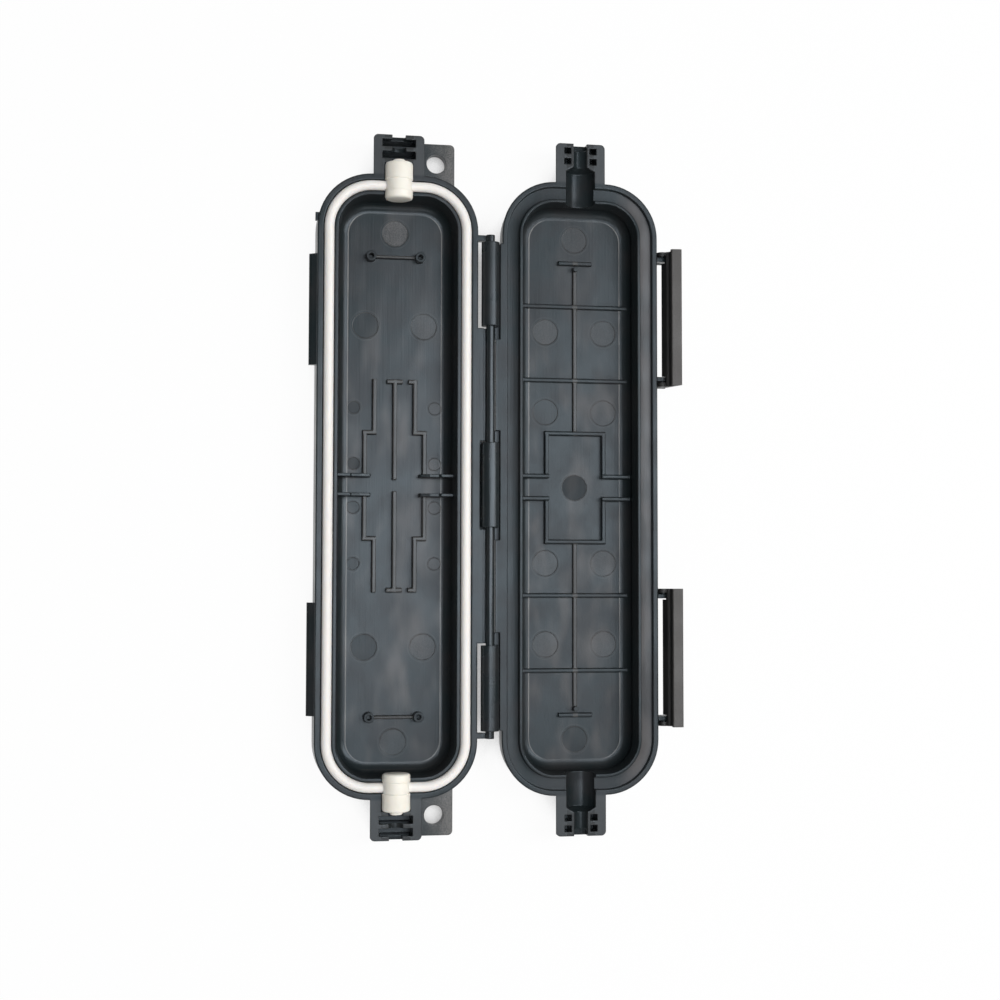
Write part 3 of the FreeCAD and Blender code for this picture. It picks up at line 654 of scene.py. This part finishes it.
def add_camera():
    """Camera of the photograph."""
    data = bpy.data.cameras.new("photo_camera")
    data.sensor_width = SENSOR
    data.lens = FOCAL_PIXELS / PICTURE * SENSOR
    data.clip_start = 0.01
    data.clip_end = 10.0
    camera = bpy.data.objects.new("photo_camera", data)
    turn_x, turn_y, turn_z = (Matrix.Rotation(turn, 4, axis) for turn, axis in zip(CAMERA_TURN, "XYZ"))
    to_camera = turn_z @ turn_y @ turn_x
    camera.matrix_world = Matrix.Translation(CAMERA_PLACE) @ to_camera.transposed()
    bpy.context.scene.collection.objects.link(camera)
    bpy.context.scene.camera = camera


def add_panel(name, place, size, watts, colour):
    """Soft rectangular lamp that faces the middle of the open box."""
    data = bpy.data.lights.new(name, "AREA")
    data.shape = "RECTANGLE"
    data.size, data.size_y = size
    data.energy = watts
    data.color = colour
    lamp = bpy.data.objects.new(name, data)
    lamp.location = place
    lamp.rotation_euler = (Vector(LAMP_TARGET) - Vector(place)).to_track_quat("-Z", "Y").to_euler()
    bpy.context.scene.collection.objects.link(lamp)


def blend_shaders(tree, share, first, second, output):
    """Send a mix of two shaders to an output."""
    blend = add(tree, "ShaderNodeMixShader")
    tree.links.new(share, blend.inputs["Fac"])
    tree.links.new(first.outputs[0], blend.inputs[1])
    tree.links.new(second.outputs[0], blend.inputs[2])
    tree.links.new(blend.outputs["Shader"], output.inputs["Surface"])


def floor_white():
    """Pale floor that shows white to the camera and keeps a faint shadow, with painted shade deeper in narrow
    gaps.
    """
    material = bpy.data.materials.new("studio_floor_white")
    material.use_nodes = True
    tree = material.node_tree
    tree.nodes.clear()
    output = add(tree, "ShaderNodeOutputMaterial")
    diffuse = add(tree, "ShaderNodeBsdfDiffuse", Color=(*FLOOR_TONE, 1.0))
    white = add(tree, "ShaderNodeEmission", Color=(1.0, 1.0, 1.0, 1.0))
    painted_gap_shade = add(tree, "ShaderNodeAmbientOcclusion", samples=8, Distance=GAP_REACH)
    # painted shade: the white dims where ambient occlusion finds a narrow gap
    tree.links.new(remap(tree, painted_gap_shade.outputs["AO"], 0.1, 0.45, 0.35, 1.0), white.inputs["Strength"])
    path = add(tree, "ShaderNodeLightPath")
    seen = calculate(tree, "MAXIMUM", path.outputs["Is Camera Ray"], path.outputs["Is Glossy Ray"])
    blend_shaders(tree, product(tree, seen, FLOOR_WHITE_SHARE), diffuse, white, output)
    return material


def add_floor():
    """Flat floor under the box."""
    corners = [(x * FLOOR_REACH, y * FLOOR_REACH, 0.0) for x, y in ((-1, -1), (1, -1), (1, 1), (-1, 1))]
    mesh = bpy.data.meshes.new("studio_floor")
    mesh.from_pydata(corners, [], [(0, 1, 2, 3)])
    mesh.materials.append(floor_white())
    floor = bpy.data.objects.new("studio_floor", mesh)
    bpy.context.scene.collection.objects.link(floor)


def add_world():
    """Pale air that shows white behind the floor."""
    world = bpy.data.worlds.new("studio_air")
    world.use_nodes = True
    tree = world.node_tree
    tree.nodes.clear()
    output = add(tree, "ShaderNodeOutputWorld")
    air = add(tree, "ShaderNodeBackground", Color=(*AIR_TONE, 1.0), Strength=AIR_STRENGTH)
    white = add(tree, "ShaderNodeBackground", Color=(1.0, 1.0, 1.0, 1.0), Strength=1.0)
    path = add(tree, "ShaderNodeLightPath")
    blend_shaders(tree, path.outputs["Is Camera Ray"], air, white, output)
    bpy.context.scene.world = world


moulding = moulding_group()
groups = (moulding, disc_group(), outline_group())
paint(nodes["base_shell"], shell_plastic(groups, BASE))
paint(nodes["lid_shell"], shell_plastic(groups, LID))
dark_latch = latch_plastic(moulding)
for name in ("latch_upper", "latch_lower"):
    paint(nodes[name], dark_latch)
make_seal(soft_silicone("silicone"))

add_camera()
add_floor()
add_world()
add_panel("right_softbox", (0.29, 0.06, 0.82), size=(0.3, 1.25), watts=7.2, colour=(0.97, 0.985, 1.0))
add_panel("low_strip", (0.75, 0.05, 0.72), size=(0.16, 0.8), watts=1.2, colour=(1.0, 0.95, 0.9))
add_panel("front_fill", (0.1, -0.8, 0.6), size=(0.8, 0.3), watts=1.6, colour=(1.0, 0.97, 0.94))

bpy.context.scene.view_settings.view_transform = "Standard"
